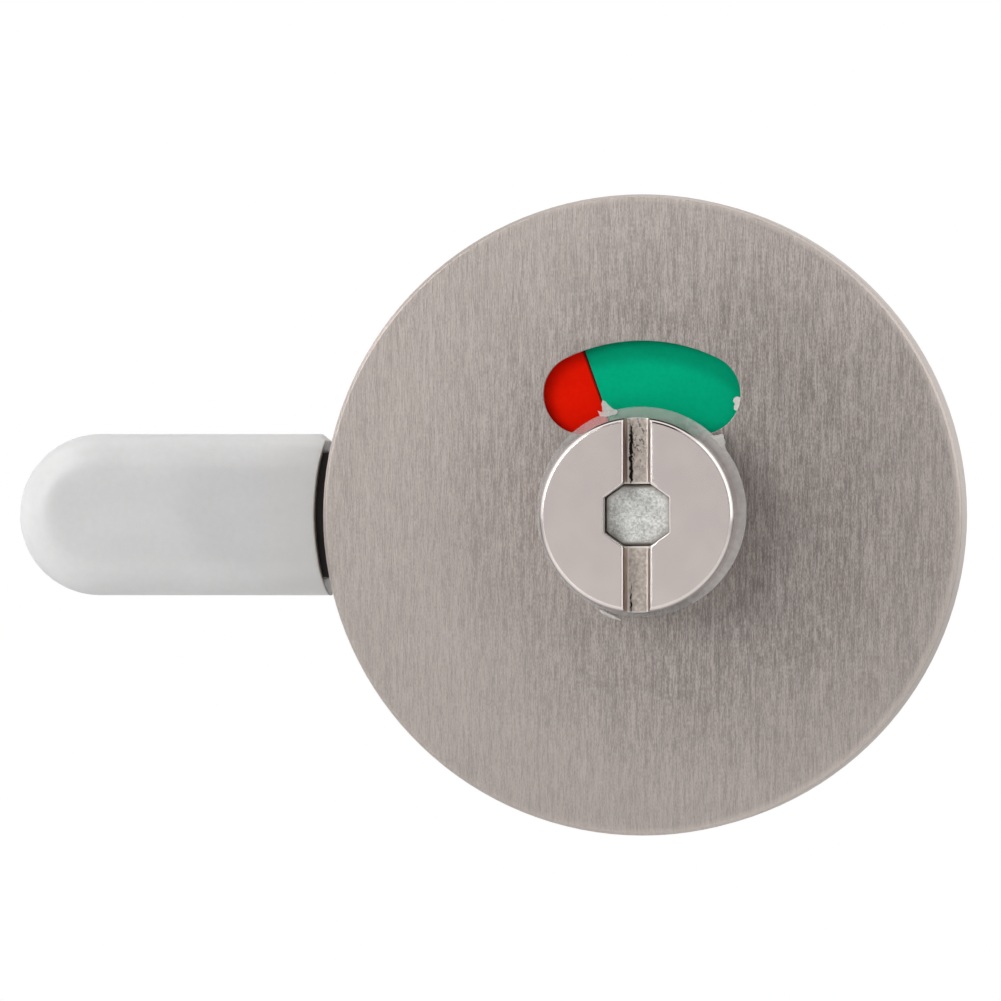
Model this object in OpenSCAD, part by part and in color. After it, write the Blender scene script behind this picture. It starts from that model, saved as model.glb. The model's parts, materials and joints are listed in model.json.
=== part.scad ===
// Toilet indicator bolt. The outer rose carries a red and green window and a coin slot for release.
// The inner rose carries a bolt that slides, which a thumbturn drives through a crank.
// Millimetres, +Z up. The outer face looks along -Y and the bolt shoots along -X.
// The origin is on the spindle's axis, in the plane of the door's outer face.

/* [Door] */
// Thickness of the door that the two halves clamp
door_t = 13; // [12:0.5:20]

/* [Outer rose] */
// Diameter of the outer rose
rose_d = 64; // [62:0.5:72]
// Height of the outer rose off the door
rose_h = 8; // [8:0.5:11]
// Sheet thickness of both roses
rose_t = 0.6; // [0.5:0.1:1.2]
// Bevel around the face of both roses
rose_bevel = 0.3; // [0.1:0.1:0.6]
// Thickness of both base plates
plate_t = 2; // [1.9:0.1:2.5]

/* [Window] */
// Radius of the window's centreline
window_r = 13.4; // [12.5:0.1:14.5]
// Width of the window
window_w = 8; // [6:0.25:9]
// Half of the angle between the window's two end arcs
window_half_angle = 26; // [15:1:35]

/* [Indicator] */
// How far the indicator disc reaches past the window
indicator_margin = 1.8; // [1:0.1:3]
// Thickness of the red indicator disc
indicator_t = 0.8; // [0.6:0.1:1]
// Thickness of the green half on the red disc
sector_t = 0.2; // [0.15:0.05:0.5]
// Gap between the outer rose's sheet and the green half
window_gap = 0.2; // [0.15:0.05:0.4]
// Angle of the red and green boundary, left of upright
sector_angle = 19.3; // [0:0.1:40]

/* [Knob] */
// Diameter of the knob's head
knob_d = 19.4; // [17:0.1:22]
// Height of the knob's head
knob_h = 5.8; // [4.5:0.1:8]
// Bevel around the knob's face
knob_bevel = 0.35; // [0.1:0.05:0.8]
// Width of the coin slot below its bevelled edges
slot_w = 2.65; // [2:0.05:3.2]
// Depth of the coin slot
slot_depth = 1.7; // [1.2:0.1:2.5]
// How far each wall of the coin slot leans in at its floor
slot_draft = 0.35; // [0.1:0.05:0.5]
// Bevel along the coin slot's edges
slot_bevel = 0.15; // [0.05:0.05:0.25]
// Diameter of the shanks on the knob and the thumbturn
shank_d = 12; // [11.2:0.1:13]
// Distance between the two flats that turn the indicator disc
shank_flats = 10.6; // [9.4:0.1:11]
// Diameter at the bottom of the circlip grooves
groove_d = 10.4; // [9.6:0.1:10.8]
// Thickness of the circlips
clip_t = 0.8; // [0.6:0.05:0.9]
// Radial width of the circlips
clip_w = 2.6; // [2:0.1:3.2]
// Width of the circlips' gap
clip_gap = 4; // [3:0.1:5]
// Shank left past the thumbturn's circlip
clip_lip = 1; // [0.8:0.1:1.5]
// Free height of the bowed spring washer
wave_h = 0.8; // [0.6:0.05:0.9]
// Sheet thickness of the bowed spring washer
wave_t = 0.3; // [0.2:0.05:0.4]

/* [Washers] */
// Diameter of the washers under the knob and the thumbturn
washer_d = 21; // [20:0.1:24]
// Thickness of those washers
washer_t = 0.6; // [0.4:0.1:1]
// How far the loose knob washer sits above the axis
washer_lift = 0.3; // [0:0.05:0.35]

/* [Spindle] */
// Width of the eight-sided spindle
spindle_w = 6.4; // [5.6:0.1:6.8]
// Height of the eight-sided spindle
spindle_h = 6; // [5.4:0.1:6.4]
// Length of the spindle's upper and lower flats
spindle_flat_w = 2.8; // [2:0.1:3.4]
// Length of the spindle's side flats
spindle_flat_h = 3.5; // [2.5:0.1:4]
// How far the spindle's end lies under the coin slot's floor
spindle_sink = 0.2; // [0:0.05:0.6]

/* [Fixings] */
// Distance between the two fixing posts
post_spacing = 42; // [40:0.5:44]
// Diameter of the fixing posts
post_d = 7; // [6.4:0.1:7.6]
// How far the posts reach into the door
post_l = 10; // [9:0.5:11]
// Thickness of the flanges on the posts and the bush
flange_t = 0.8; // [0.6:0.1:1]
// How far a flange reaches past its barrel
flange_w = 1.5; // [1:0.1:2]
// Wall of the nylon bush
bush_wall = 2; // [1.5:0.1:2.5]
// How far the posts' pressed collars reach past their barrels
collar_w = 0.4; // [0.2:0.1:0.6]
// Bore of the threaded posts
thread_d = 4; // [3.6:0.1:4.4]
// Depth of the posts' threaded bores
thread_l = 4.6; // [4:0.1:4.8]
// Diameter of the fixing screws' heads
screw_head_d = 7.5; // [7:0.1:7.8]
// Room between a fixing screw's end and the floor of its bore
screw_room = 0.5; // [0.2:0.1:1]
// Width of the screws' cross recesses
recess_w = 0.8; // [0.5:0.1:1]
// Diameter of the two cover screws
cover_screw_d = 2.5; // [2:0.1:3]
// Diameter of the cover screws' heads
cover_head_d = 4.6; // [4:0.1:5]
// Height of the cover screws' heads
cover_head_h = 1.2; // [0.8:0.1:1.4]

/* [Inner rose] */
// Diameter of the inner rose
inner_d = 58; // [57:0.5:64]
// Width of the tabs that take the cover screws
tab_w = 7; // [6:0.25:8]
// Thickness of those tabs
tab_t = 1.6; // [1.2:0.1:1.8]
// Height of those tabs
tab_h = 5.5; // [5:0.25:7]
// Side wall of the bolt's guides
guide_wall = 3.4; // [2.6:0.1:4]
// Thickness of the guides' lips over the bolt
guide_lip_t = 1.4; // [1:0.1:2]
// How far the guides' lips reach over the bolt
guide_lip_w = 2; // [1:0.1:2.2]
// Distance of the guides' inner ends from the axis
guide_start = 14; // [13.2:0.1:16]
// Diameter of the guides' pegs
peg_d = 2.6; // [2:0.1:3]

/* [Bolt] */
// Width of the bolt bar
bar_w = 12.7; // [12.2:0.1:13.2]
// Thickness of the bolt bar
bar_t = 6; // [5:0.1:6.4]
// Thickness of the bar's tail under the crank
tail_t = 3; // [2.4:0.1:3.4]
// Metal past the end of the spindle's slot
tail_web = 3; // [2:0.1:4]
// Distance of the thick part's inner end from the axis
bar_step = 7.5; // [7:0.1:9]
// Width of the tongue inside the sleeve
tongue_w = 9.4; // [8:0.1:10]
// Thickness of the tongue
tongue_t = 4; // [3:0.1:4.4]
// Distance of the tongue's tip from the axis
tongue_reach = 61.4; // [59:0.1:62]
// Distance of the bar's shoulder from the axis
shoulder_reach = 38.4; // [37.5:0.1:40]
// Distance of the locking rib from the axis
rib_reach = 53.3; // [50:0.1:54.5]
// Width of the locking rib along the bolt
rib_w = 3.4; // [2.5:0.1:4]
// Height of the locking rib across the bolt
rib_h = 6.2; // [5:0.1:6.8]

/* [Crank] */
// Radius of the crank pin's circle
crank_r = 10.5; // [9.8:0.1:11]
// Diameter of the crank pin
crank_pin_d = 3; // [2.6:0.1:3.2]
// Thickness of the crank
crank_t = 2; // [1.6:0.1:2.2]
// Diameter of the crank's hub
crank_hub_d = 12; // [11:0.1:13]
// Metal around the crank pin, on the crank and on the bolt's yoke
crank_web = 1.8; // [1.4:0.1:2.2]

/* [Sleeve] */
// Width of the sleeve
sleeve_w = 16.4; // [15.6:0.1:18]
// Thickness of the sleeve
sleeve_t = 8.4; // [8:0.1:10]
// Radius of the sleeve's long edges
sleeve_edge_r = 3.4; // [2:0.1:3.8]
// Distance of the sleeve's nose from the axis
sleeve_reach = 65.7; // [65.2:0.1:70]
// Distance of the sleeve's hollow end from the axis
sleeve_start = 35.2; // [34.2:0.1:36.4]
// Radius of the sleeve's hollow end
sleeve_end_r = 27; // [22:0.5:36]
// Cut on the sleeve's upper inner corner
sleeve_corner = 1; // [0.4:0.1:1.5]

/* [Thumbturn] */
// Diameter of the thumbturn's base
turn_d = 22; // [20:0.5:26]
// Height of the thumbturn's base
turn_base_h = 5; // [4.6:0.1:7]
// Length of the thumbturn's grip
turn_grip_l = 26; // [22:0.5:32]
// Thickness of the thumbturn's grip
turn_grip_w = 7.6; // [6:0.1:9]
// Height of the thumbturn's grip off its base
turn_grip_h = 14; // [10:0.5:18]
// Depth of the finger hollows in the grip
turn_hollow = 1.2; // [0.4:0.1:1.6]
// Bevel around the thumbturn
turn_bevel = 0.6; // [0.2:0.1:1]
// Metal past the end of the spindle's socket
turn_floor = 1; // [0.5:0.1:1.5]
// Diameter of the grub screw
grub_d = 3; // [2.5:0.1:3.4]
// Width of the grub screw's hexagon socket, across its corners
grub_key = 1.5; // [1.2:0.1:1.7]

/* [Fits] */
// Radial clearance between pieces that stay still
fit_still = 0.05; // [0.02:0.01:0.08]
// Radial clearance of a shank in its bush
fit_run = 0.06; // [0.03:0.01:0.09]
// Clearance between faces that pass each other
fit_pass = 0.3; // [0.2:0.05:0.35]
// Gap under the washers, and short of the door's faces
fit_flat = 0.1; // [0.05:0.05:0.15]
// Clearance on each side of the bolt in its guides
fit_slide = 0.2; // [0.1:0.05:0.3]
// Clearance on each side of the crank pin in the yoke
pin_play = 0.4; // [0.4:0.02:0.5]

/* [Hidden] */
$fn = 96;
// Overshoot of a cutting solid past the face that it cuts
cut = 1;
// A length well past anything on the part
far = 200;

// Heights toward the viewer, from the door's outer face: the outer half
rose_r = rose_d / 2;
rose_under = rose_h - rose_t;
sector_top = rose_under - window_gap;
disc_top = sector_top - sector_t;
disc_bottom = disc_top - indicator_t;
front_clip_top = disc_bottom - wave_h;
knob_bottom = rose_h + fit_flat + washer_t;
knob_top = knob_bottom + knob_h;
spindle_top = knob_top - slot_depth - spindle_sink;
indicator_r = window_r + window_w / 2 + indicator_margin;
bush_d = shank_d + 2 * (fit_run + bush_wall);
clip_d = groove_d + 2 * clip_w;
bore_floor = thread_l - post_l;

// The inner half
inner_r = inner_d / 2;
inner_face = -door_t;
plate_back = inner_face - plate_t;
bar_front = plate_back - fit_slide;
bar_back = bar_front - bar_t;
bar_mid = bar_front - bar_t / 2;
tail_back = bar_front - tail_t;
crank_front = tail_back - fit_pass;
crank_back = crank_front - crank_t;
lip_back = bar_back - fit_slide - guide_lip_t;
inner_under = min(lip_back, crank_back - clip_lip - clip_t - fit_pass) - fit_pass;
inner_back = inner_under - rose_t;
turn_front = inner_back - fit_flat - washer_t;
turn_base_back = turn_front - turn_base_h;
turn_back = turn_base_back - turn_grip_h;
socket_back = turn_base_back + turn_floor;
spindle_back = socket_back + fit_pass;
back_clip_top = inner_under + fit_pass + clip_t;
grub_end = turn_d / 2 - turn_bevel;

// The crank swings a quarter turn, evenly to both sides of straight down
crank_half = 45;
throw = 2 * crank_r * sin(crank_half);
pin_x = crank_r * sin(crank_half);
pin_y = -crank_r * cos(crank_half);

// The spindle's slot in the bolt
spindle_r = norm([spindle_w, spindle_flat_h]) / 2;
bar_slot_r = spindle_r + fit_pass;
tail_end = throw + bar_slot_r + tail_web;

// The yoke slot that the crank pin drives, from the pin's highest place to its lowest
yoke_r = crank_pin_d / 2 + pin_play;
yoke_top = -pin_y - pin_play / 2;
yoke_bottom = crank_r + pin_play / 2;

// The guides lie inside the inner rose, on both sides of the bolt
guide_y = bar_w / 2 + fit_slide;
plate_r = inner_r - rose_t - fit_still;
guide_end = sqrt(pow(plate_r - fit_pass, 2) - pow(guide_y + guide_wall, 2));
peg_places = [0.25, 0.75];
tab_y = sqrt(pow(plate_r, 2) - pow(tab_w / 2, 2)) - fit_pass;
tab_mid = plate_back - tab_h / 2;
nose_x = -(sleeve_reach - sleeve_w / 2);

// Turns a shape drawn face on, with z toward the viewer, into the part's frame
module face_on() {
    rotate([90, 0, 0])
        children();
}

// A round bar between two heights
module rod(d, z0, z1) {
    translate([0, 0, z0])
        cylinder(d = d, h = z1 - z0);
}

// A flat ring between two heights
module ring(d_out, d_in, z0, z1) {
    difference() {
        rod(d_out, z0, z1);
        rod(d_in, z0 - cut, z1 + cut);
    }
}

// A plate of any outline between two heights
module slab(z0, z1) {
    translate([0, 0, z0])
        linear_extrude(z1 - z0)
            children();
}

// A box from two opposite corners
module box(a, b) {
    translate(a)
        cube(b - a);
}

// A slot outline with round ends, from one centre to another along x
module slot_x(x0, x1, r) {
    translate([x0, -r])
        square([x1 - x0, 2 * r]);
    for (x = [x0, x1])
        translate([x, 0])
            circle(r);
}

// The eight-sided outline of the spindle, grown by a clearance
module spindle_outline(grow) {
    x = spindle_w / 2 + grow;
    y = spindle_h / 2 + grow;
    fx = spindle_flat_w / 2;
    fy = spindle_flat_h / 2;
    polygon([[fx, y], [x, fy], [x, -fy], [fx, -y], [-fx, -y], [-x, -fy], [-x, fy], [-fx, y]]);
}

// A drawn cup with a bevelled face at height h and its open rim at 0
module cup(r, h) {
    difference() {
        rotate_extrude()
            polygon([[0, 0], [r, 0], [r, h - rose_bevel], [r - rose_bevel, h], [0, h]]);
        rod(2 * (r - rose_t), -cut, h - rose_t);
    }
}

// The kidney-shaped window over the axis, as a solid between two heights
module window_cut(z0, z1) {
    rotate(90 - window_half_angle)
        rotate_extrude(angle = 2 * window_half_angle)
            translate([window_r - window_w / 2, z0])
                square([window_w, z1 - z0]);
    for (s = [-1, 1])
        rotate(-s * window_half_angle)
            translate([0, window_r, 0])
                rod(window_w, z0, z1);
}

// A circlip with a gap that faces down, its top at height z
module circlip(z) {
    difference() {
        ring(clip_d, groove_d + 2 * fit_still, z - clip_t, z);
        box([-clip_gap / 2, -clip_d, z - clip_t - cut], [clip_gap / 2, 0, z + cut]);
    }
}

// The two places of the posts and their screws
module at_posts() {
    for (s = [-1, 1])
        translate([0, s * post_spacing / 2, 0])
            children();
}

// The two places of the cover screws, drawn with z outward from the axis
module at_cover_screws() {
    for (s = [-1, 1])
        translate([0, 0, tab_mid])
            rotate([-s * 90, 0, 0])
                children();
}

module front_rose() {
    color("#aaa19c")
        face_on()
            difference() {
                cup(rose_r, rose_h);
                rod(shank_d + 2 * fit_pass, rose_under - cut, rose_h + cut);
                window_cut(rose_under - cut, rose_h + cut);
            }
}

module front_baseplate() {
    color("#8f9296")
        face_on()
            difference() {
                rod(2 * (rose_r - rose_t - fit_still), 0, plate_t);
                rod(bush_d + 2 * fit_still, -cut, plate_t + cut);
                at_posts()
                    rod(post_d + 2 * (collar_w + fit_still), -cut, plate_t + cut);
            }
}

module spindle_bush() {
    color("#e8e6e0")
        face_on()
            difference() {
                union() {
                    rod(bush_d, fit_flat, plate_t);
                    rod(bush_d + 2 * flange_w, plate_t, plate_t + flange_t);
                }
                rod(shank_d + 2 * fit_run, -cut, plate_t + flange_t + cut);
            }
}

module threaded_posts() {
    color("#a8a79f")
        face_on()
            at_posts()
                difference() {
                    union() {
                        rod(post_d, -post_l, plate_t);
                        rod(post_d + 2 * collar_w, fit_flat, plate_t);
                        rod(post_d + 2 * flange_w, plate_t, plate_t + flange_t);
                    }
                    rod(thread_d, -post_l - cut, bore_floor);
                }
}

module inner_baseplate() {
    screw_d = thread_d - 2 * fit_still;
    color("#8f9296")
        face_on()
            difference() {
                union() {
                    rod(2 * plate_r, plate_back, inner_face);
                    for (s = [0, 1])
                        mirror([0, s, 0])
                            box([-tab_w / 2, tab_y - tab_t, plate_back - tab_h],
                                [tab_w / 2, tab_y, plate_back]);
                }
                rod(2 * bar_slot_r, plate_back - cut, inner_face + cut);
                at_posts() {
                    rod(thread_d + 2 * fit_pass, plate_back - cut, inner_face + cut);
                    translate([0, 0, plate_back])
                        cylinder(d1 = screw_head_d + 2 * fit_still, d2 = screw_d + 2 * fit_still,
                            h = (screw_head_d - screw_d) / 2);
                }
                for (s = [0, 1])
                    mirror([0, s, 0])
                        guide_pegs(fit_still, cut);
                at_cover_screws()
                    rod(cover_screw_d, tab_y - tab_t - cut, tab_y + cut);
            }
}

// The two pegs of the upper guide, grown by a clearance and run past the plate's face
module guide_pegs(grow, past) {
    for (f = peg_places)
        translate([-guide_start - f * (guide_end - guide_start), guide_y + guide_wall / 2, 0])
            rod(peg_d + 2 * grow, plate_back - grow, inner_face - fit_flat + past);
}

module bolt_guides() {
    color("#dedbd2")
        face_on()
            for (s = [0, 1])
                mirror([0, s, 0]) {
                    box([-guide_end, guide_y, lip_back], [-guide_start, guide_y + guide_wall, plate_back]);
                    box([-guide_end, guide_y - guide_lip_w, lip_back],
                        [-guide_start, guide_y, lip_back + guide_lip_t]);
                    guide_pegs(0, 0);
                }
}

module inner_rose() {
    color("#aaa19c")
        face_on()
            difference() {
                translate([0, 0, inner_face])
                    mirror([0, 0, 1])
                        cup(inner_r, inner_face - inner_back);
                rod(shank_d + 2 * fit_pass, inner_back - cut, inner_under + cut);
                box([-inner_r - cut, -guide_y, bar_back - fit_pass],
                    [-guide_start, guide_y, inner_face + cut]);
                at_cover_screws()
                    rod(cover_screw_d + 2 * fit_still, tab_y, inner_r + cut);
            }
}

// A cross recess cut down from height z into a screw's head
module cross_recess(d, z, depth) {
    for (a = [0, 90])
        rotate(a)
            box([-d / 2, -recess_w / 2, z - cut], [d / 2, recess_w / 2, z + depth]);
}

module fixing_screws() {
    screw_d = thread_d - 2 * fit_still;
    head_h = (screw_head_d - screw_d) / 2;
    color("#b9b6ac")
        face_on()
            at_posts()
                difference() {
                    union() {
                        translate([0, 0, plate_back])
                            cylinder(d1 = screw_head_d, d2 = screw_d, h = head_h);
                        rod(screw_d, plate_back + head_h, bore_floor - screw_room);
                    }
                    cross_recess(screw_head_d / 2, plate_back, head_h / 2);
                }
}

module cover_screws() {
    shaft_r = cover_screw_d / 2 - fit_still;
    shaft_end = tab_y - tab_t;
    head_top = inner_r + cover_head_h;
    color("#b9b6ac")
        face_on()
            at_cover_screws()
                difference() {
                    rotate_extrude()
                        polygon([[0, shaft_end], [shaft_r, shaft_end], [shaft_r, inner_r],
                            [cover_head_d / 2, inner_r], [cover_head_d / 2, head_top], [0, head_top]]);
                    translate([0, 0, head_top])
                        mirror([0, 0, 1])
                            cross_recess(cover_head_d / 2, 0, cover_head_h / 2);
                }
}

// The coin slot across the knob's face, with leaning walls and bevelled edges
module coin_slot() {
    x_floor = slot_w / 2 - slot_draft;
    x_wall = slot_w / 2;
    x_edge = x_wall + slot_bevel + cut;
    z_floor = knob_top - slot_depth;
    z_wall = knob_top - slot_bevel;
    z_edge = knob_top + cut;
    rotate([90, 0, 0])
        slab(-knob_d, knob_d)
            polygon([[-x_floor, z_floor], [x_floor, z_floor], [x_wall, z_wall], [x_edge, z_edge],
                [-x_edge, z_edge], [-x_wall, z_wall]]);
}

module release_knob() {
    color("#beb3af")
        face_on()
            difference() {
                rotate_extrude()
                    polygon([[0, knob_top], [knob_d / 2 - knob_bevel, knob_top],
                        [knob_d / 2, knob_top - knob_bevel], [knob_d / 2, knob_bottom],
                        [shank_d / 2, knob_bottom], [shank_d / 2, fit_flat], [0, fit_flat]]);
                for (s = [0, 1])
                    mirror([s, 0, 0])
                        box([shank_flats / 2, -shank_d, -cut], [shank_d, shank_d, disc_top]);
                ring(shank_d + 2 * cut, groove_d, front_clip_top - clip_t - fit_still, front_clip_top);
                coin_slot();
                slab(-cut, knob_top + cut)
                    spindle_outline(2 * fit_still);
            }
}

module knob_washer() {
    color("#d9dcd6")
        face_on()
            translate([0, washer_lift, 0])
                ring(washer_d, shank_d + 2 * (washer_lift + fit_flat), rose_h + fit_flat, knob_bottom);
}

module indicator_disc() {
    color("#d61704")
        face_on()
            difference() {
                rod(2 * indicator_r, disc_bottom, disc_top);
                slab(disc_bottom - cut, disc_top + cut)
                    intersection() {
                        circle(d = shank_d + 2 * fit_still);
                        square([shank_flats + 2 * fit_still, shank_d + 2 * cut], center = true);
                    }
            }
}

module indicator_sector() {
    color("#019d71")
        face_on()
            difference() {
                ring(2 * indicator_r, shank_d + 2 * fit_pass, disc_top, sector_top);
                rotate(90 + sector_angle)
                    box([-far, 0, disc_top - cut], [far, far, sector_top + cut]);
            }
}

module wave_washer() {
    ring_r = shank_d / 2 + clip_w;
    rise = wave_h - wave_t;
    bow_r = (ring_r * ring_r + rise * rise) / (2 * rise);
    color("#c9cacb")
        face_on()
            intersection() {
                ring(2 * ring_r, shank_d + 2 * fit_still, front_clip_top - cut, disc_bottom + cut);
                translate([0, 0, disc_bottom - bow_r])
                    rotate([90, 0, 0])
                        ring(2 * bow_r, 2 * (bow_r - wave_t), -far, far);
            }
}

module indicator_circlip() {
    color("#55585b")
        face_on()
            circlip(front_clip_top);
}

module spindle() {
    color("#bfbcb7")
        face_on()
            slab(spindle_back, spindle_top)
                spindle_outline(0);
}

module crank() {
    tip_r = crank_pin_d / 2 + crank_web;
    color("#9b9c98")
        face_on()
            difference() {
                slab(crank_back, crank_front) {
                    circle(d = crank_hub_d);
                    rotate(-90 + crank_half)
                        slot_x(0, crank_r, tip_r);
                }
                slab(crank_back - cut, crank_front + cut)
                    spindle_outline(fit_still);
                translate([pin_x, pin_y, 0])
                    rod(crank_pin_d + 2 * fit_still, crank_back - cut, crank_front + cut);
            }
}

module crank_pin() {
    color("#d0cfca")
        face_on()
            translate([pin_x, pin_y, 0])
                rod(crank_pin_d, crank_back, bar_front - fit_slide);
}

// The thumbturn's grip, hollowed on both sides for the fingers
module turn_grip() {
    half_l = (turn_grip_l - turn_grip_w) / 2;
    chord = turn_grip_h - 2 * turn_bevel;
    hollow_r = (pow(chord / 2, 2) + pow(turn_hollow, 2)) / (2 * turn_hollow);
    difference() {
        slab(turn_back, turn_base_back)
            rotate(90)
                slot_x(-half_l, half_l, turn_grip_w / 2);
        for (s = [-1, 1])
            translate([s * (turn_grip_w / 2 - turn_hollow + hollow_r), 0, turn_base_back - turn_grip_h / 2])
                rotate([90, 0, 0])
                    rod(2 * hollow_r, -turn_grip_l, turn_grip_l);
    }
}

module thumbturn() {
    color("#b4aca7")
        face_on()
            difference() {
                union() {
                    rotate_extrude()
                        polygon([[0, turn_base_back], [turn_d / 2 - turn_bevel, turn_base_back],
                            [turn_d / 2, turn_base_back + turn_bevel], [turn_d / 2, turn_front],
                            [shank_d / 2, turn_front], [shank_d / 2, crank_back], [0, crank_back]]);
                    turn_grip();
                }
                slab(socket_back, crank_back + cut)
                    spindle_outline(fit_still);
                ring(shank_d + 2 * cut, groove_d, back_clip_top - clip_t, back_clip_top + fit_still);
                grub_place()
                    rod(grub_d, spindle_h / 2, turn_d);
            }
}

// The grub screw's axis, with z outward from the spindle's lower flat
module grub_place() {
    translate([0, 0, turn_front - turn_base_h / 2])
        rotate([90, 0, 0])
            children();
}

module thumbturn_washer() {
    color("#d9dcd6")
        face_on()
            ring(washer_d, shank_d + 2 * fit_flat, turn_front, inner_back - fit_flat);
}

module thumbturn_circlip() {
    color("#55585b")
        face_on()
            circlip(back_clip_top);
}

module grub_screw() {
    color("#3a3b3d")
        face_on()
            grub_place()
                difference() {
                    rod(grub_d - 2 * fit_still, spindle_h / 2 + fit_still, grub_end);
                    translate([0, 0, grub_end - grub_key])
                        cylinder(d = grub_key, h = grub_key + cut, $fn = 6);
                }
}

// The slot that lets the bolt pass the spindle, and the yoke slot that the crank pin drives
module bar_slots() {
    slot_x(-fit_pass, throw + fit_pass, bar_slot_r);
    translate([pin_x, 0])
        rotate(-90)
            slot_x(yoke_top, yoke_bottom, yoke_r);
}

// The locking rib's outline, grown by a clearance
module rib_outline(grow) {
    translate([-rib_reach, 0])
        rotate(90)
            slot_x(-(rib_h - rib_w) / 2, (rib_h - rib_w) / 2, rib_w / 2 + grow);
}

// The tongue's outline with its round tip, grown by a clearance
module tongue_outline(grow) {
    r = tongue_w / 2 + grow;
    slot_x(-(tongue_reach - tongue_w / 2), -shoulder_reach, r);
}

module bolt_bar() {
    yoke_half = yoke_r + crank_web;
    yoke_low = yoke_bottom + yoke_half;
    color("#17120f")
        face_on()
            difference() {
                union() {
                    slab(tail_back, bar_front) {
                        translate([-shoulder_reach, -bar_w / 2])
                            square([shoulder_reach + tail_end, bar_w]);
                        translate([pin_x - yoke_half, -yoke_low])
                            square([2 * yoke_half, yoke_low]);
                    }
                    slab(bar_back, bar_front)
                        translate([-shoulder_reach, -bar_w / 2])
                            square([shoulder_reach - bar_step, bar_w]);
                    slab(bar_mid - tongue_t / 2, bar_mid + tongue_t / 2)
                        tongue_outline(0);
                }
                slab(bar_back - cut, bar_front + cut)
                    bar_slots();
                slab(bar_back - cut, bar_front + cut)
                    rib_outline(fit_still);
            }
}

// Cross section of the sleeve, with its long edges rounded
module sleeve_section() {
    x = sleeve_w / 2 - sleeve_edge_r;
    y = sleeve_t / 2 - sleeve_edge_r;
    square([sleeve_w, 2 * y], center = true);
    square([2 * x, sleeve_t], center = true);
    for (i = [-1, 1], j = [-1, 1])
        translate([i * x, j * y])
            circle(sleeve_edge_r);
}

module bolt_sleeve() {
    end_x = sleeve_end_r - sleeve_start;
    corner_x = end_x - sqrt(pow(sleeve_end_r, 2) - pow(sleeve_w / 2, 2));
    color("#d2d2d1")
        face_on()
            difference() {
                translate([0, 0, bar_mid]) {
                    translate([nose_x, 0, 0])
                        rotate([90, 0, 90])
                            linear_extrude(corner_x + cut - nose_x)
                                sleeve_section();
                    translate([nose_x, 0, 0])
                        rotate(90)
                            rotate_extrude(angle = 180)
                                intersection() {
                                    sleeve_section();
                                    translate([0, -sleeve_t])
                                        square(2 * sleeve_t);
                                }
                }
                translate([end_x, 0, 0])
                    rod(2 * sleeve_end_r, bar_back - far, bar_front + far);
                translate([corner_x - sleeve_corner, sleeve_w / 2, 0])
                    rotate(-45)
                        box([-cut, 0, -far], [sleeve_corner * sqrt(2) + cut, sleeve_corner, far]);
                box([-shoulder_reach - fit_still, -bar_w / 2 - fit_still, bar_back - fit_still],
                    [0, bar_w / 2 + fit_still, bar_front + fit_still]);
                slab(bar_mid - tongue_t / 2 - fit_still, bar_mid + tongue_t / 2 + fit_still)
                    difference() {
                        tongue_outline(fit_still);
                        rib_outline(0);
                    }
            }
}

front_rose();
front_baseplate();
spindle_bush();
threaded_posts();
inner_baseplate();
bolt_guides();
inner_rose();
fixing_screws();
cover_screws();
release_knob();
knob_washer();
indicator_disc();
indicator_sector();
wave_washer();
indicator_circlip();
spindle();
crank();
crank_pin();
thumbturn();
thumbturn_washer();
thumbturn_circlip();
grub_screw();
bolt_bar();
bolt_sleeve();
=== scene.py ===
"""Looks of the toilet indicator bolt: materials, torn film scraps, studio and camera. Metres, +Z up."""

import json
import math
import random

import bmesh
import bpy
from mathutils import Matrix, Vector


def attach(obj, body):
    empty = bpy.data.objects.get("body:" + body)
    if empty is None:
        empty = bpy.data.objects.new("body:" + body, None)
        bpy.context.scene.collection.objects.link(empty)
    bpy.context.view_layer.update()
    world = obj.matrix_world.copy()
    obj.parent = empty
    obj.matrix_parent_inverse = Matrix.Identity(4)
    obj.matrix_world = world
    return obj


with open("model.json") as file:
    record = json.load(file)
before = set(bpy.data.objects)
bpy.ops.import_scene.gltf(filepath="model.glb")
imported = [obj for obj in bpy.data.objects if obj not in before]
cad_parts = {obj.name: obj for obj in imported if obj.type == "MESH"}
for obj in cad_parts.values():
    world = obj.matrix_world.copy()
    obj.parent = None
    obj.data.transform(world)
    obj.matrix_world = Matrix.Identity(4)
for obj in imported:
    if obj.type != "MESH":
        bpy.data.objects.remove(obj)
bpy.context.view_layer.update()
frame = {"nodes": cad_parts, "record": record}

MM = 0.001

# Sizes and places on the solids, in mm
ROSE_RADIUS = 32.0
ROSE_FACE_Y = -8.0
# The painted shade on the rose centres on this spot beside the knob
SHADE_SPOT = (8, 2)
KNOB_RADIUS = 9.7
KNOB_FACE_Y = -14.5
SLOT_HALF_WIDTH = 1.325
SPINDLE_END_Y = -12.6
SPINDLE_HALF_X = 3.2
SPINDLE_HALF_Z = 3.0
SLEEVE_HOLLOW_X = -8.2
SLEEVE_HOLLOW_RADIUS = 27.0

# The spindle's slanted sides: which way they face, along X and Z, and their distance from its axis in mm
SLANT_X, SLANT_Z, SLANT_REACH = 0.5704, 0.8214, 3.2627

# The bearing of the green half's edge at rest, in degrees clockwise from straight up, seen from the front
GREEN_EDGE = -19.3


# Node helpers


def add(tree, kind, props=None, **inputs):
    """A new node. An input is set to a value, or linked where the value is another node's output."""
    node = tree.nodes.new(kind)
    for key, value in (props or {}).items():
        setattr(node, key, value)
    for key, value in inputs.items():
        connect(tree, value, node.inputs[key.replace("_", " ")])
    return node


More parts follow.
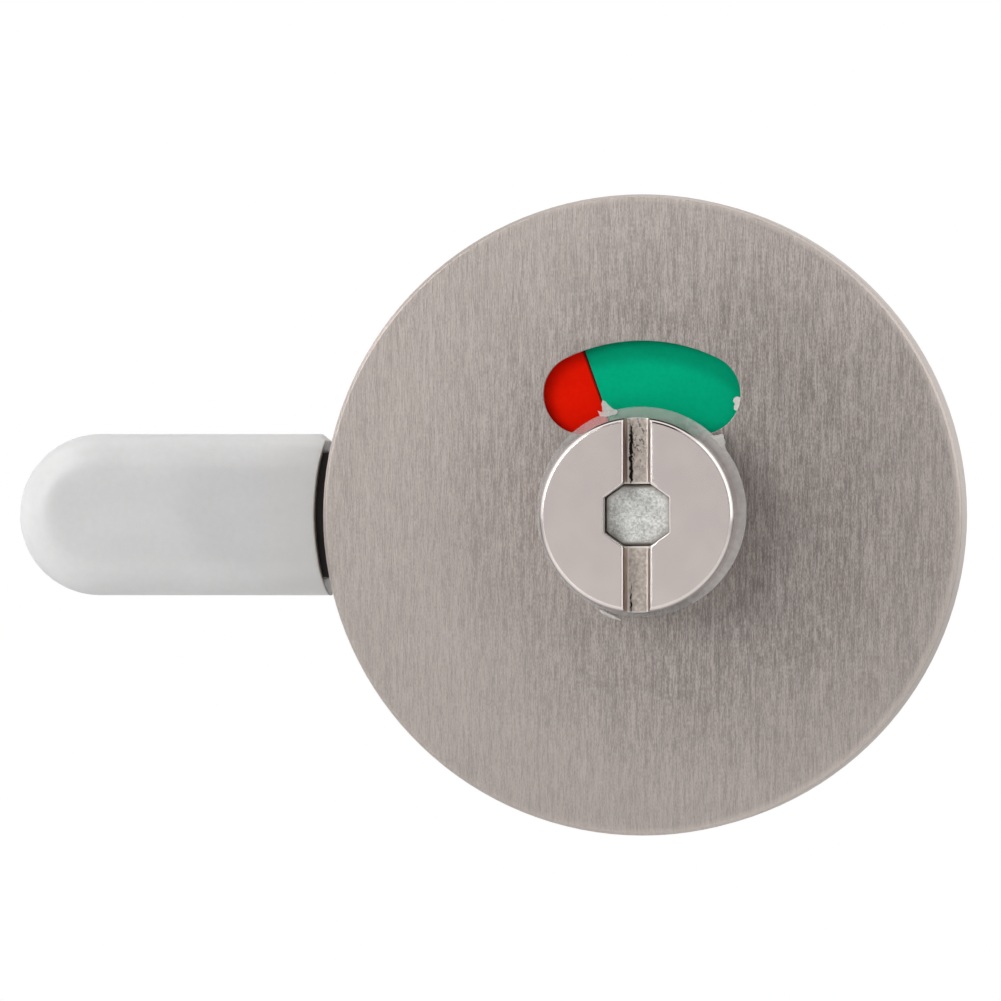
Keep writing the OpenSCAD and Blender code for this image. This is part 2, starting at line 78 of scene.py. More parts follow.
def connect(tree, value, socket):
    """Links an output to a socket, or sets the socket to a number, a colour or a vector."""
    if isinstance(value, bpy.types.NodeSocket):
        tree.links.new(value, socket)
    elif isinstance(value, tuple) and socket.type == "RGBA" and len(value) == 3:
        socket.default_value = (*value, 1.0)
    else:
        socket.default_value = value


def cube(scale):
    """The same scale along each axis."""
    return (scale, scale, scale)


def noise(tree, scale, detail=3.0, roughness=0.5, distortion=0.0):
    """Noise whose features measure 1 over scale along each of the object's axes, in metres."""
    source = add(tree, "ShaderNodeTexCoord").outputs["Object"]
    scaled = add(tree, "ShaderNodeMapping", Vector=source, Scale=scale).outputs["Vector"]
    node = add(
        tree, "ShaderNodeTexNoise", Vector=scaled, Scale=1.0, Detail=detail,
        Roughness=roughness, Distortion=distortion,
    )
    return node.outputs["Fac"]


def calc(tree, operation, *values, clamp=False):
    """A Math node's result."""
    node = add(tree, "ShaderNodeMath", {"operation": operation, "use_clamp": clamp})
    for socket, value in zip(node.inputs, values):
        connect(tree, value, socket)
    return node.outputs["Value"]


def times(tree, first, *others):
    """The product of all values."""
    for other in others:
        first = calc(tree, "MULTIPLY", first, other)
    return first


def most(tree, first, *others):
    """The largest of all values."""
    for other in others:
        first = calc(tree, "MAXIMUM", first, other)
    return first


def span(tree, value, low, high, to_low, to_high, smooth=False):
    """Maps low..high to to_low..to_high, clamped."""
    node = add(
        tree, "ShaderNodeMapRange", {"interpolation_type": "SMOOTHSTEP" if smooth else "LINEAR"},
        Value=value, From_Min=low, From_Max=high, To_Min=to_low, To_Max=to_high,
    )
    return node.outputs["Result"]


def rise(tree, value, low, high, top=1.0, smooth=False):
    """0 up to low, and top from high on. Both limits are in mm."""
    return span(tree, value, low * MM, high * MM, 0.0, top, smooth)


def fall(tree, value, low, high, top=1.0, smooth=False):
    """Top up to low, and 0 from high on. Both limits are in mm."""
    return span(tree, value, low * MM, high * MM, top, 0.0, smooth)


def blend(tree, factor, a, b):
    """Mixes two colours."""
    node = add(tree, "ShaderNodeMix", {"data_type": "RGBA"})
    for index, value in ((0, factor), (6, a), (7, b)):
        connect(tree, value, node.inputs[index])
    return node.outputs[2]


def mottle(tree, value, dark, light, low=0.36, high=0.64):
    """Mixes two colours by a noise, whose values from low to high cover the whole mix."""
    return blend(tree, span(tree, value, low, high, 0.0, 1.0), dark, light)


def bump(tree, height, strength, distance, normal):
    """A normal with a fine relief."""
    return add(
        tree, "ShaderNodeBump", Height=height, Strength=strength, Distance=distance, Normal=normal
    ).outputs["Normal"]


def rounded(tree, radius):
    """A normal that rounds the solid's edges off. The radius is in metres."""
    return add(tree, "ShaderNodeBevel", {"samples": 6}, Radius=radius).outputs["Normal"]


def place(tree):
    """The three object coordinates."""
    source = add(tree, "ShaderNodeTexCoord").outputs["Object"]
    return add(tree, "ShaderNodeSeparateXYZ", Vector=source).outputs


def reach(tree, x=0.0, z=0.0):
    """The distance from a line along Y through x and z, which are in mm."""
    source = add(tree, "ShaderNodeTexCoord").outputs["Object"]
    flat = add(tree, "ShaderNodeMapping", Vector=source, Location=(-x * MM, 0, -z * MM), Scale=(1, 0, 1))
    length = add(tree, "ShaderNodeVectorMath", {"operation": "LENGTH"}, Vector=flat.outputs["Vector"])
    return length.outputs["Value"]


def inward(tree, radius):
    """How far a point lies inside a radius about the spindle's axis. The radius is in mm."""
    return calc(tree, "SUBTRACT", radius * MM, reach(tree))


def bearing(tree, xyz):
    """The angle round the spindle's axis, clockwise from straight up as seen from the front."""
    return calc(tree, "ARCTAN2", xyz["X"], xyz["Z"])


def sector(tree, angle, start, full, fade, end, level=1.0):
    """A level between two bearings, faded at both ends. The bearings are in degrees."""
    start, full, fade, end = (math.radians(a) for a in (start, full, fade, end))
    return times(tree, span(tree, angle, start, full, 0.0, level), span(tree, angle, fade, end, 1.0, 0.0))


def inside_octagon(tree, xyz):
    """How far a point lies inside the spindle's eight-sided outline, whose corners it rounds off."""
    x = calc(tree, "ABSOLUTE", xyz["X"])
    z = calc(tree, "ABSOLUTE", xyz["Z"])
    slant = calc(tree, "MULTIPLY_ADD", z, -SLANT_Z, SLANT_REACH * MM)
    slant = calc(tree, "MULTIPLY_ADD", x, -SLANT_X, slant)
    flat_x = calc(tree, "SUBTRACT", SPINDLE_HALF_X * MM, x)
    flat_z = calc(tree, "SUBTRACT", SPINDLE_HALF_Z * MM, z)
    return calc(tree, "SMOOTH_MIN", calc(tree, "MINIMUM", flat_x, flat_z), slant, 0.4 * MM)


def edges(tree, soft, low, high):
    """1 at the solid's edges, where the rounded normal turns away from the true one, and 0 elsewhere."""
    match = add(tree, "ShaderNodeVectorMath", {"operation": "DOT_PRODUCT"})
    connect(tree, soft, match.inputs[0])
    connect(tree, add(tree, "ShaderNodeNewGeometry").outputs["Normal"], match.inputs[1])
    return span(tree, match.outputs["Value"], low, high, 1.0, 0.0)


def material(name, **sockets):
    """A new Principled material. Returns it with its tree and shader."""
    mat = bpy.data.materials.new(name)
    mat.use_nodes = True
    tree = mat.node_tree
    shader = tree.nodes["Principled BSDF"]
    feed(tree, shader, **sockets)
    return mat, tree, shader


def feed(tree, shader, **sockets):
    """Sets or links the shader's sockets by name."""
    for key, value in sockets.items():
        connect(tree, value, shader.inputs[key.replace("_", " ")])


# Materials

BLACK = (0.0, 0.0, 0.0)

# The steel's grain: features per metre along X, Y and Z, the noise's detail, and the share of the tone
FINE_SHARE = 0.33
GRAIN_LAYERS = (
    ((9000, 9000, 3200), 1.0, 0.33),
    ((4200, 4200, 240), 2.0, 0.24),
    ((1600, 1600, 110), 2.0, 0.1),
)
STEEL_EDGE_POLISH_AND_HIGHLIGHT = (0.74, 0.66, 0.615)

KNOB_DARK, KNOB_LIGHT = (0.80, 0.715, 0.685), (0.84, 0.75, 0.715)
KNOB_EDGE_HIGHLIGHT = (0.96, 0.92, 0.89)
WALL_DARK, WALL_LIGHT = (0.48, 0.385, 0.32), (0.86, 0.73, 0.64)
WALL_DARKENING = (0.06, 0.045, 0.036)
SLOT_FLOOR_DARK, SLOT_FLOOR_LIGHT = (0.5, 0.435, 0.385), (0.8, 0.715, 0.65)
SLOT_FOOT_HIGHLIGHT = (0.9, 0.83, 0.78)
BORE_SHADE_BLACK, BORE_PALE = (0.012, 0.01, 0.009), (0.8, 0.73, 0.67)
PIT = (0.02, 0.015, 0.012)
RIM_SHADE_GREY, RIM_REFLECTION_BLACK = (0.42, 0.39, 0.37), (0.012, 0.012, 0.01)

ZINC_DARK, ZINC_LIGHT = (0.42, 0.415, 0.39), (0.9, 0.91, 0.89)
ZINC_SHADE, ZINC_SHADE_LINE, ZINC_SLOT_SHADOW = (0.2, 0.175, 0.15), (0.03, 0.025, 0.02), (0.13, 0.1, 0.08)

RED_CORNER_DIRT_AND_SHADE, RED_EDGE_SHADOW = (0.06, 0.008, 0.004), (0.012, 0.005, 0.004)
SLEEVE_SHADE_BY_ROSE, SLEEVE_END_SHADE_AND_DIRT = (0.612, 0.596, 0.565), (0.2, 0.152, 0.124)
WASHER_DARK, WASHER_LIGHT, WASHER_MILK_AND_LIGHT = (0.5, 0.49, 0.48), (0.58, 0.57, 0.56), (0.88, 0.84, 0.82)


def brushed_steel(name, light, dark, rough, grain, anisotropy=0.6, shade_depth=0.0):
    """Sheet steel with an upright grain and a pale edge that carries a painted highlight, with painted shade
    beside the knob and at the rim's left.
    """
    mat, tree, shader = material(name, Metallic=1.0, Anisotropic=anisotropy)
    fine = noise(tree, grain, 1.0)
    streak = times(tree, fine, FINE_SHARE)
    for scale, detail, share in GRAIN_LAYERS:
        streak = calc(tree, "MULTIPLY_ADD", noise(tree, scale, detail), share, streak)
    tone = span(tree, streak, 0.405, 0.595, 0.0, 1.0)
    cloud = noise(tree, cube(55), 2.0)
    colour = blend(tree, tone, dark, light)
    colour = blend(tree, span(tree, cloud, 0.35, 0.7, 0.0, 0.14), colour, tuple(0.9 * c for c in dark))

    # The painted shade beside the knob is deepest in the grain's dark streaks
    away = calc(tree, "MULTIPLY_ADD", cloud, 8 * MM, reach(tree, *SHADE_SPOT))
    patch = times(tree, fall(tree, away, 16, 37, shade_depth, True), span(tree, tone, 0.0, 1.0, 1.6, 0.4))
    xyz = place(tree)
    within = inward(tree, ROSE_RADIUS)
    # Painted shade on the rim's left, which dulls its highlight there
    left_rim_shade = times(
        tree, fall(tree, xyz["X"], -16, -6, 1.3 * shade_depth), rise(tree, xyz["Z"], -9, -4),
        fall(tree, xyz["Z"], 13, 18), fall(tree, within, 0.26, 0.34),
    )
    colour = blend(tree, most(tree, patch, left_rim_shade), colour, BLACK)

    # The pale edge, polished and with a painted highlight, is strongest at the right, and even on the rose's
    # outer side
    side = fall(tree, within, 0.05, 0.15)
    level = span(tree, xyz["X"], -20 * MM, 12 * MM, 0.1, 0.55)
    level = span(tree, side, 0.0, 1.0, level, 0.3)
    colour = blend(tree, times(tree, fall(tree, within, 0.25, 0.85), level), colour, STEEL_EDGE_POLISH_AND_HIGHLIGHT)
    feed(
        tree, shader, Base_Color=colour,
        Roughness=span(tree, streak, 0.3, 0.7, rough - 0.05, rough + 0.07),
        Normal=bump(tree, fine, 0.5, 0.04 * MM, rounded(tree, 0.12 * MM)),
        Tangent=add(tree, "ShaderNodeTangent", {"direction_type": "RADIAL", "axis": "Z"}).outputs["Tangent"],
    )
    return mat


def slot_pits(tree, xyz):
    """A ragged line of pits near the slot's left edge, long above and short below, with flecks beside it."""
    wander = calc(tree, "MULTIPLY_ADD", noise(tree, (1, 1, 1500), 2.0), 0.4 * MM, 0.46 * MM)
    off_line = calc(tree, "ABSOLUTE", calc(tree, "ADD", xyz["X"], wander))
    upper = times(tree, rise(tree, xyz["Z"], 2.8, 3.6, 0.24), fall(tree, xyz["Z"], 8.6, 9.1))
    lower = fall(tree, xyz["Z"], -9.4, -6.2, 0.2)
    broken = span(tree, noise(tree, cube(2600), 2.0), 0.38, 0.58, 0.4, 1.0)
    width = times(tree, calc(tree, "ADD", upper, lower), broken, MM)
    pits = calc(tree, "DIVIDE", calc(tree, "SUBTRACT", width, off_line), 0.05 * MM, clamp=True)
    flecks = times(
        tree, span(tree, noise(tree, (3800, 3800, 2800), 2.0, 0.6), 0.555, 0.64, 0.0, 0.75),
        span(tree, xyz["Z"], 3.5 * MM, 7 * MM, 0.1, 1.0),
    )
    return most(tree, pits, flecks)


def knob_chrome():
    """Plated casting: a smooth face, a rough coin slot with brown walls, a painted highlight on the edges,
    and a rim painted dark as a reflection.
    """
    mat, tree, shader = material("knob_chrome")
    xyz = place(tree)
    aside = calc(tree, "ABSOLUTE", xyz["X"])
    under = calc(tree, "SUBTRACT", xyz["Y"], KNOB_FACE_Y * MM)
    within = inward(tree, KNOB_RADIUS)
    cast = noise(tree, cube(2600), 4.0, 0.6)

    # The slot's walls are darker under their edges and carry painted shade at the right, and a painted
    # highlight runs along their foot
    inside = fall(tree, aside, SLOT_HALF_WIDTH + 0.005, SLOT_HALF_WIDTH + 0.055)
    slot = times(tree, inside, rise(tree, under, 0.1, 0.25))
    floor = times(tree, inside, rise(tree, under, 1.55, 1.62))
    wall = mottle(tree, noise(tree, (6000, 6000, 500), 2.0), WALL_DARK, WALL_LIGHT)
    wall = blend(tree, fall(tree, under, 0.2, 0.8, 0.85), wall, WALL_DARKENING)
    # Painted shade on the wall at the slot's right
    wall = blend(tree, rise(tree, xyz["X"], 0.5, 1.0, 0.65), wall, WALL_DARKENING)
    foot_highlight = times(tree, inside, rise(tree, aside, 0.9, 0.95, 0.8), rise(tree, under, 1.35, 1.5))
    colour = mottle(tree, noise(tree, cube(320), 2.0), KNOB_DARK, KNOB_LIGHT, 0.35, 0.65)
    colour = blend(tree, slot, colour, wall)
    colour = blend(tree, floor, colour, mottle(tree, cast, SLOT_FLOOR_DARK, SLOT_FLOOR_LIGHT, 0.35, 0.68))
    colour = blend(tree, foot_highlight, colour, SLOT_FOOT_HIGHLIGHT)

    # The wall of the spindle's hole is painted black as shade under its edge, and pale further down
    bore = times(tree, rise(tree, inside_octagon(tree, xyz), -0.35, -0.25), rise(tree, under, 0.05, 0.15))
    colour = blend(tree, bore, colour, blend(tree, rise(tree, under, 0.4, 0.6), BORE_SHADE_BLACK, BORE_PALE))
    colour = blend(tree, times(tree, slot_pits(tree, xyz), floor), colour, PIT)

    # Edges are painted bright as a highlight, most broadly at the slot's right
    broad = times(
        tree, rise(tree, xyz["X"], 0.9, 1.1, 0.22 * MM), fall(tree, xyz["X"], 2.0, 2.2),
        rise(tree, within, 0.7, 1.1),
    )
    soft = rounded(tree, calc(tree, "ADD", broad, 0.2 * MM))
    edge_highlight = edges(tree, soft, 0.86, 0.98)
    colour = blend(tree, edge_highlight, colour, KNOB_EDGE_HIGHLIGHT)

    # Outside the highlight line the rim is painted darker, and black along its top as a painted dark
    # reflection, where a second painted black line runs inside it
    turn = bearing(tree, xyz)
    rim = times(tree, fall(tree, under, 0.38, 0.44), fall(tree, within, 0.13, 0.17, 0.95))
    rim_reflection_tone = blend(tree, sector(tree, turn, -34, -24, 32, 40), RIM_SHADE_GREY, RIM_REFLECTION_BLACK)
    colour = blend(tree, rim, colour, rim_reflection_tone)
    reflection_line = times(tree, rise(tree, within, 0.25, 0.29), fall(tree, within, 0.38, 0.42))
    reflection_arcs = most(tree, sector(tree, turn, 9, 11, 24, 30), sector(tree, turn, -23, -20, -12, -9, 0.4))
    colour = blend(tree, times(tree, reflection_line, reflection_arcs), colour, RIM_REFLECTION_BLACK)

    height = times(tree, cast, calc(tree, "MULTIPLY_ADD", floor, 0.97, 0.03))
    feed(
        tree, shader, Base_Color=colour, Metallic=span(tree, bore, 0.0, 1.0, 1.0, 0.1),
        Roughness=span(tree, most(tree, slot, edge_highlight, bore), 0.0, 1.0, 0.17, 0.42),
        Normal=bump(tree, height, 0.35, 0.06 * MM, soft),
    )
    return mat


def spindle_zinc():
    """Pale, mottled zinc with a frosty grain, and painted shade along the edges of the end that shows."""
    mat, tree, shader = material("spindle_zinc", Metallic=0.75)
    xyz = place(tree)
    fleck = noise(tree, cube(4800), 4.0, 0.7)
    patch = noise(tree, (650, 650, 900), 3.0)
    tone = calc(tree, "MULTIPLY_ADD", fleck, 0.7, times(tree, patch, 0.3))
    colour = mottle(tree, tone, ZINC_DARK, ZINC_LIGHT, 0.38, 0.62)

    # Painted shade: a soft shade all round, a thin line that is darkest at the left, and a shadow beside each
    # half of the slot
    end = fall(tree, xyz["Y"], SPINDLE_END_Y + 0.05, SPINDLE_END_Y + 0.15)
    depth = calc(tree, "MULTIPLY_ADD", fleck, -0.16 * MM, inside_octagon(tree, xyz))
    shade = times(tree, end, fall(tree, depth, 0.0, 0.5, 0.5, True))
    shade_line = times(
        tree, end, fall(tree, depth, 0.0, 0.05), span(tree, xyz["X"], -2.9 * MM, 0.0, 0.9, 0.2)
    )
    ragged = calc(tree, "MULTIPLY_ADD", fleck, 0.25 * MM, calc(tree, "ABSOLUTE", xyz["Z"]))
    slot_shadow = times(
        tree, end, rise(tree, ragged, 2.8, 2.98, 0.8), fall(tree, calc(tree, "ABSOLUTE", xyz["X"]), 1.2, 1.6)
    )
    for factor, tint in ((shade, ZINC_SHADE), (shade_line, ZINC_SHADE_LINE), (slot_shadow, ZINC_SLOT_SHADOW)):
        colour = blend(tree, factor, colour, tint)
    feed(
        tree, shader, Base_Color=colour, Roughness=span(tree, fleck, 0.3, 0.7, 0.38, 0.6),
        Normal=bump(tree, fleck, 0.5, 0.05 * MM, rounded(tree, 0.3 * MM)),
    )
    return mat


def plated(name, light, dark, rough):
    """Plain plated or oiled metal with a fine orange peel and worn patches."""
    mat, tree, shader = material(name, Metallic=1.0)
    peel = noise(tree, cube(900), 4.0)
    patch = noise(tree, cube(140), 3.0)
    tone = calc(tree, "MULTIPLY_ADD", peel, 0.5, times(tree, patch, 0.5))
    feed(
        tree, shader, Base_Color=mottle(tree, tone, dark, light),
        Roughness=span(tree, tone, 0.35, 0.65, rough + 0.06, rough - 0.05),
        Normal=bump(tree, peel, 0.15, 0.03 * MM, rounded(tree, 0.08 * MM)),
    )
    return mat


def plastic(name, light, dark, rough, grain=2200, edge=0.1, overpaint=None, **sockets):
    """Moulded plastic with a matt grain, faint flow marks and edges rounded by edge. An overpaint, such as
    painted shade and dirt, comes last.
    """
    mat, tree, shader = material(name, **sockets)
    fine = noise(tree, cube(grain), 3.0)
    flow = noise(tree, (90, 90, 160), 3.0, 0.5, 0.8)
    tone = calc(tree, "MULTIPLY_ADD", fine, 0.4, times(tree, flow, 0.6))
    colour = mottle(tree, tone, dark, light)
    if overpaint is not None:
        colour = overpaint(tree, shader, colour)
    feed(
        tree, shader, Base_Color=colour,
        Roughness=span(tree, fine, 0.3, 0.7, rough - 0.05, rough + 0.07),
        Normal=bump(tree, fine, 0.12, 0.02 * MM, rounded(tree, edge * MM)),
    )
    return mat


def red_dirt_and_shade(tree, shader, colour):
    """Brown painted shade in the corners, which also stands for dirt there, and a painted shadow along the
    green half's edge.
    """
    open_sky = add(tree, "ShaderNodeAmbientOcclusion", {"samples": 12}, Distance=0.3 * MM).outputs["AO"]
    colour = blend(tree, span(tree, open_sky, 0.55, 0.86, 0.15, 0.0), colour, RED_CORNER_DIRT_AND_SHADE)
    turn = bearing(tree, place(tree))
    shade_line = sector(tree, turn, GREEN_EDGE - 1.4, GREEN_EDGE - 0.5, GREEN_EDGE + 1.3, GREEN_EDGE + 2.3, 0.92)
    return blend(tree, shade_line, colour, RED_EDGE_SHADOW)


def green_edge_shade(tree, shader, colour):
    """A soft shade towards the outside, where the window's edge hangs over the green."""
    return blend(tree, rise(tree, reach(tree), 14.7, 16.2, 0.25, True), colour, BLACK)


def sleeve_shade_and_dirt(tree, shader, colour):
    """The bar shows through as a faint painted shade, and painted shade darkens the part near the rose. The
    hollow end is painted brown as shade and dirt, and lets no light through.
    """
    xyz = place(tree)
    # Painted shade of the bar inside
    along = rise(tree, xyz["X"], -51, -47, 0.045, True)
    across = fall(tree, calc(tree, "ABSOLUTE", xyz["Z"]), 4, 6.5, 1.0, True)
    colour = blend(tree, times(tree, along, across), colour, BLACK)
    # Painted shade near the rose
    colour = blend(tree, rise(tree, xyz["X"], -41, -34, 0.6), colour, SLEEVE_SHADE_BY_ROSE)
    hollow = fall(
        tree, reach(tree, SLEEVE_HOLLOW_X), SLEEVE_HOLLOW_RADIUS + 0.05, SLEEVE_HOLLOW_RADIUS + 0.2
    )
    feed(tree, shader, Subsurface_Weight=calc(tree, "SUBTRACT", 1.0, hollow))
    stain = span(tree, noise(tree, cube(700), 3.0), 0.35, 0.65, 0.7, 1.0)
    # The hollow end's brown is painted shade and dirt
    return blend(tree, times(tree, hollow, stain), colour, SLEEVE_END_SHADE_AND_DIRT)


def milky_washer():
    """Clear plastic gone milky, most of all at the right, where the whiter colour is also painted light."""
    mat, tree, shader = material("washer_plastic")
    fine = noise(tree, cube(1800), 3.0)
    # Whiter and more opaque at the right, partly as painted light
    milk_and_light = rise(tree, place(tree)["X"], 3.5, 8.5, 1.0, True)
    clear = span(tree, fine, 0.35, 0.65, 0.25, 0.33)
    colour = mottle(tree, fine, WASHER_DARK, WASHER_LIGHT)
    feed(
        tree, shader, Base_Color=blend(tree, milk_and_light, colour, WASHER_MILK_AND_LIGHT),
        Alpha=calc(tree, "MULTIPLY_ADD", milk_and_light, 0.24, clear),
        Roughness=span(tree, fine, 0.3, 0.7, 0.4, 0.5),
        Normal=bump(tree, fine, 0.12, 0.02 * MM, rounded(tree, 0.1 * MM)),
    )
    return mat


slot_materials = {
    "rose_steel": brushed_steel(
        "rose_steel", (0.572, 0.51, 0.476), (0.418, 0.37, 0.343), 0.45, (7600, 7600, 800), shade_depth=0.24
    ),
    "turn_steel": brushed_steel(
        "turn_steel", (0.58, 0.53, 0.5), (0.47, 0.43, 0.4), 0.38, (4200, 4200, 900), anisotropy=0.4
    ),
    "plate_steel": plated("plate_steel", (0.6, 0.6, 0.6), (0.45, 0.45, 0.46), 0.36),
    "fastener_zinc": plated("fastener_zinc", (0.68, 0.67, 0.63), (0.5, 0.49, 0.45), 0.3),
    "spring_steel": plated("spring_steel", (0.3, 0.3, 0.32), (0.19, 0.19, 0.2), 0.34),
    "knob_chrome": knob_chrome(),
    "spindle_zinc": spindle_zinc(),
    # The bolt's bar is nearly black, and also stands for the deep shade in the gap beside the rose
    "bolt_black": plastic(
        "bolt_black", (0.022, 0.018, 0.016), (0.012, 0.01, 0.009), 0.45, Metallic=0.3, Specular_IOR_Level=0.4
    ),
    "red_plastic": plastic(
        "red_plastic", (0.74, 0.0085, 0.0005), (0.65, 0.006, 0.0003), 0.85,
        overpaint=red_dirt_and_shade, Specular_IOR_Level=0.03,
    ),
    "green_plastic": plastic(
        "green_plastic", (0.0002, 0.4, 0.21), (0.0001, 0.34, 0.172), 0.85,
        overpaint=green_edge_shade, Specular_IOR_Level=0.03,
    ),
    "nylon": plastic(
        "nylon", (0.82, 0.81, 0.76), (0.74, 0.73, 0.68), 0.45,
        Subsurface_Weight=0.2, Subsurface_Scale=0.001,
    ),
    "washer_plastic": milky_washer(),
    "sleeve_plastic": plastic(
        "sleeve_plastic", (0.63, 0.625, 0.625), (0.59, 0.588, 0.588), 0.4, grain=1500, edge=0.25,
        overpaint=sleeve_shade_and_dirt, Subsurface_Scale=0.003, Subsurface_Radius=(1.0, 1.0, 1.0),
    ),
}
for subpart in frame["record"]["subparts"]:
    mesh = frame["nodes"][subpart["node"]].data
    mesh.materials.clear()
    mesh.materials.append(slot_materials[subpart["material_slot"]])


# Torn flash on the milky washer's rim, and a scrap of film on the window's edge, in mm

FILM_THICKNESS = 0.04
RAGGED_STEP = 0.12
RAGGEDNESS = 0.03
ON_WASHER_Y = -8.76
ON_ROSE_Y = ROSE_FACE_Y - 0.04

# The flash bends towards the rose outside the washer: where that starts, and how much for each mm further out
DROOP_START = 10.6
DROOP_SLOPE = 0.2


def point_of(vert):
    """A vertex's place."""
    return tuple(vert.co)


def corners_of(item):
    """The places of an edge's or face's corners."""
    return sorted(point_of(vert) for vert in item.verts)


def scrap(name, outline, y, body, film, slope=0.0):
    """A thin ragged sheet that rides on a body. The outline gives x and z in mm."""
    rng = random.Random(name)
    bm = bmesh.new()
    rim = []
    for (x0, z0), (x1, z1) in zip(outline, outline[1:] + outline[:1]):
        steps = max(1, round(math.hypot(x1 - x0, z1 - z0) / RAGGED_STEP))
        for i in range(steps):
            t = i / steps
            jitter = RAGGEDNESS if i else 0.0
            x = x0 + (x1 - x0) * t + rng.uniform(-jitter, jitter)
            z = z0 + (z1 - z0) * t + rng.uniform(-jitter, jitter)
            droop = slope * max(0.0, math.hypot(x, z) - DROOP_START)
            rim.append(bm.verts.new((x * MM, (y + droop) * MM, z * MM)))
    face = bm.faces.new(rim)
    made = bmesh.ops.extrude_face_region(bm, geom=[face], use_keep_orig=True)
    front = [item for item in made["geom"] if isinstance(item, bmesh.types.BMVert)]
    bmesh.ops.translate(bm, verts=front, vec=(0, -FILM_THICKNESS * MM, 0))
    bmesh.ops.triangulate(bm, faces=bm.faces[:])
    bmesh.ops.recalc_face_normals(bm, faces=bm.faces[:])

    # The same order in every run
    for group, key in ((bm.verts, point_of), (bm.edges, corners_of), (bm.faces, corners_of)):
        for index, item in enumerate(sorted(group, key=key)):
            item.index = index
        group.sort()
    mesh = bpy.data.meshes.new(name)
    bm.to_mesh(mesh)
    bm.free()
    mesh.materials.append(film)
    piece = bpy.data.objects.new(name, mesh)
    bpy.context.scene.collection.objects.link(piece)
    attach(piece, body)


thin_film = plastic("thin_film", (0.8, 0.77, 0.75), (0.5, 0.48, 0.46), 0.5, grain=3800, Alpha=0.55)
thick_film = plastic("thick_film", (0.82, 0.79, 0.75), (0.6, 0.57, 0.54), 0.5, grain=3800, Alpha=0.8)
scrap("washer_flash_left", [
    (-3.93, 11.45), (-3.65, 11.35), (-3.25, 10.95), (-2.8, 10.6), (-2.4, 10.45), (-2.3, 10.3), (-2.5, 10.02),
    (-3.1, 9.88), (-3.6, 9.78), (-4.05, 9.82), (-4.25, 10.1), (-4.35, 10.4), (-4.15, 10.32), (-3.9, 10.2),
    (-3.92, 10.6), (-4.0, 11.05),
], ON_WASHER_Y, "turning_spindle", thin_film, DROOP_SLOPE)
scrap("washer_flash_right", [
    (7.1, 7.95), (7.7, 7.95), (7.95, 8.05), (8.25, 8.02), (8.28, 7.6), (8.45, 7.3), (8.36, 6.9), (8.6, 6.5),
    (7.95, 6.75), (7.65, 7.15), (7.3, 7.5), (6.9, 7.85),
], ON_WASHER_Y, "turning_spindle", thick_film, DROOP_SLOPE)
scrap("washer_flash_low", [
    (-4.1, -9.35), (-3.5, -9.72), (-2.75, -10.05), (-1.95, -10.42), (-2.05, -10.58), (-2.85, -10.35),
    (-3.75, -9.98), (-4.22, -9.58),
], ON_WASHER_Y, "turning_spindle", thin_film, DROOP_SLOPE)
scrap("window_film", [
    (9.45, 11.8), (9.9, 11.75), (9.87, 11.3), (9.78, 10.9), (9.62, 10.45), (9.4, 10.4), (9.25, 10.5),
    (9.2, 10.8), (9.32, 11.05), (9.15, 11.3), (9.2, 11.6),
], ON_ROSE_Y, "housing", thick_film)


# Studio

FLOOR_Z = -0.125
BACKDROP_Y = 3.5
BACKDROP_TOP = 4
STAGE_HALF = 4

# The floor turns white between these distances behind the part, and stays plain and shaded under it
WHITE_FROM, WHITE_FULL = 0.5, 1.4

AIM = (0, ROSE_FACE_Y * MM, 0)


def stage_sheet(name, corners, grey):
    """A flat floor or backdrop in a plain matt grey. Returns its node tree and its shader's output."""
    mesh = bpy.data.meshes.new(name)
    mesh.from_pydata(corners, [], [(0, 1, 2, 3)])
    obj = bpy.data.objects.new(name, mesh)
    bpy.context.scene.collection.objects.link(obj)
    mat, tree, shader = material(f"{name}_white", Base_Color=(grey, grey, grey), Roughness=0.9)
    mesh.materials.append(mat)
    return tree, shader.outputs["BSDF"]


def white_for_view(tree, base, factor=1.0):
    """Shows white to camera, glossy and transmission rays, by a factor, and the base shader to the rest."""
    path = add(tree, "ShaderNodeLightPath").outputs
    seen = most(tree, path["Is Camera Ray"], path["Is Glossy Ray"], path["Is Transmission Ray"])
    white = add(tree, "ShaderNodeEmission", Color=(1, 1, 1), Strength=1.0).outputs["Emission"]
    mix = add(tree, "ShaderNodeMixShader")
    for socket, value in zip(mix.inputs, (times(tree, seen, factor), base, white)):
        connect(tree, value, socket)
    connect(tree, mix.outputs[0], tree.nodes["Material Output"].inputs["Surface"])


def soft_box(name, where, size, power):
    """A round soft lamp that faces the rose and that the camera doesn't see."""
    lamp = bpy.data.lights.new(name, "AREA")
    lamp.shape = "DISK"
    lamp.size = size
    lamp.energy = power
    obj = bpy.data.objects.new(name, lamp)
    obj.location = where
    obj.rotation_euler = (Vector(AIM) - Vector(where)).to_track_quat("-Z", "Y").to_euler()
    obj.visible_camera = False
    bpy.context.scene.collection.objects.link(obj)


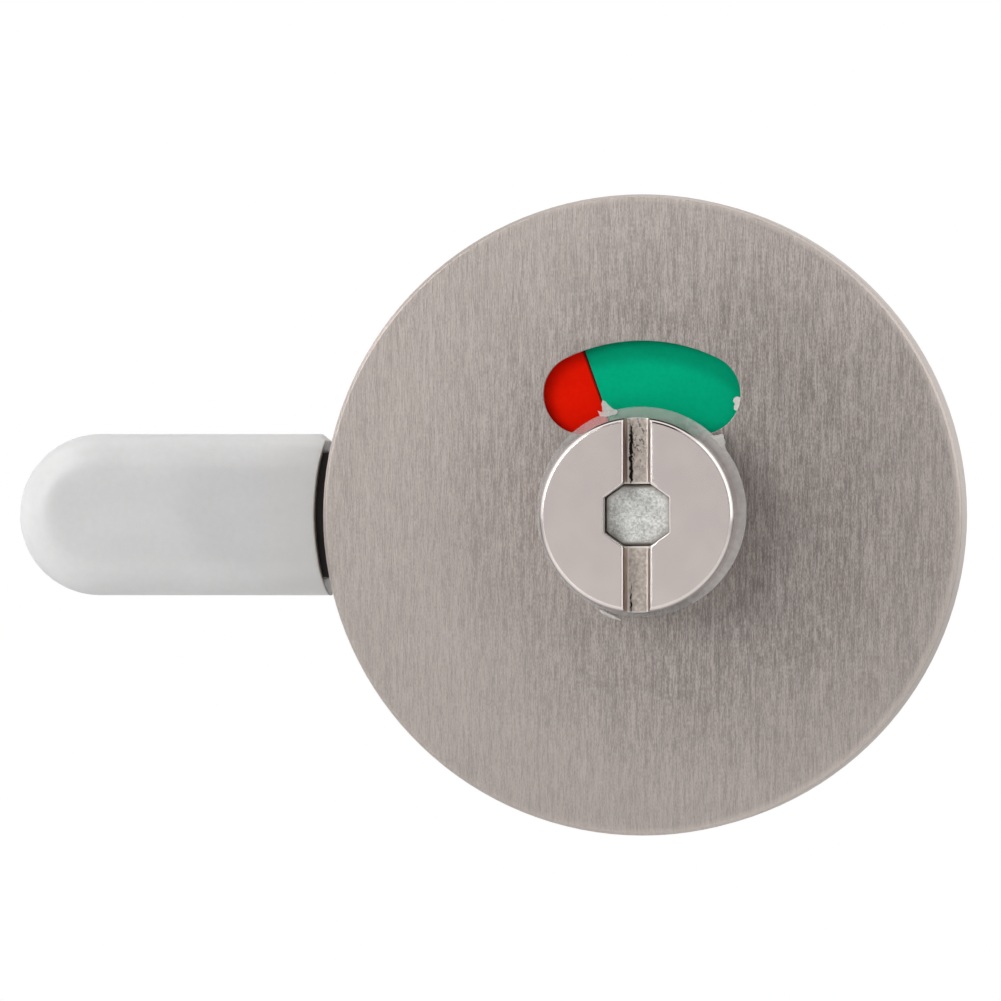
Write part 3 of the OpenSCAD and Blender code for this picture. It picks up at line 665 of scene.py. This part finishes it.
tree, base = stage_sheet("floor", [
    (-STAGE_HALF, -STAGE_HALF, FLOOR_Z), (STAGE_HALF, -STAGE_HALF, FLOOR_Z),
    (STAGE_HALF, STAGE_HALF, FLOOR_Z), (-STAGE_HALF, STAGE_HALF, FLOOR_Z),
], grey=0.75)
white_for_view(tree, base, span(tree, place(tree)["Y"], WHITE_FROM, WHITE_FULL, 0.0, 1.0, True))
tree, base = stage_sheet("backdrop", [
    (-STAGE_HALF, BACKDROP_Y, FLOOR_Z), (STAGE_HALF, BACKDROP_Y, FLOOR_Z),
    (STAGE_HALF, BACKDROP_Y, BACKDROP_TOP), (-STAGE_HALF, BACKDROP_Y, BACKDROP_TOP),
], grey=0.9)
white_for_view(tree, base)

# The world is dim in front of the part, where the knob's face mirrors it, and bright round and behind it
scene = bpy.context.scene
scene.world = bpy.data.worlds.new("studio")
scene.world.use_nodes = True
tree = scene.world.node_tree
way = add(tree, "ShaderNodeSeparateXYZ", Vector=add(tree, "ShaderNodeTexCoord").outputs["Generated"]).outputs
feed(
    tree, tree.nodes["Background"], Color=(1, 1, 1),
    Strength=span(tree, way["Y"], -0.6, -0.12, 0.2, 1.07, True),
)

soft_box("key", (-0.33, -0.33, 0.182), 0.36, 1.7)
soft_box("fill", (-0.122, -1.3, 0.0), 0.3, 0.088)
soft_box("side", (0.42, -0.17, 0.2), 0.6, 0.53)
soft_box("low", (-0.12, -0.3, -0.11), 0.15, 0.03)


# Camera, level, a little to the right of the rose's axis

DISTANCE = 1.5
TURN = math.radians(5.4)
FRAME_WIDTH = 0.09988
SENSOR_WIDTH = 36

# The middle of the frame, measured in mm from the middle of the rose's face
FRAME_LEFT, FRAME_UP = 14.1, 1.44

back = Vector((math.sin(TURN), -math.cos(TURN), 0))
right = Vector((math.cos(TURN), math.sin(TURN), 0))
middle = Vector(AIM) - FRAME_LEFT * MM * right + Vector((0, 0, FRAME_UP * MM))
camera = bpy.data.cameras.new("camera")
camera.sensor_width = SENSOR_WIDTH
camera.lens = SENSOR_WIDTH * DISTANCE / FRAME_WIDTH
camera.clip_end = 50
eye = bpy.data.objects.new("camera", camera)
eye.location = middle + DISTANCE * back
eye.rotation_euler = (-back).to_track_quat("-Z", "Y").to_euler()
scene.collection.objects.link(eye)
scene.camera = eye
scene.view_settings.view_transform = "Standard"
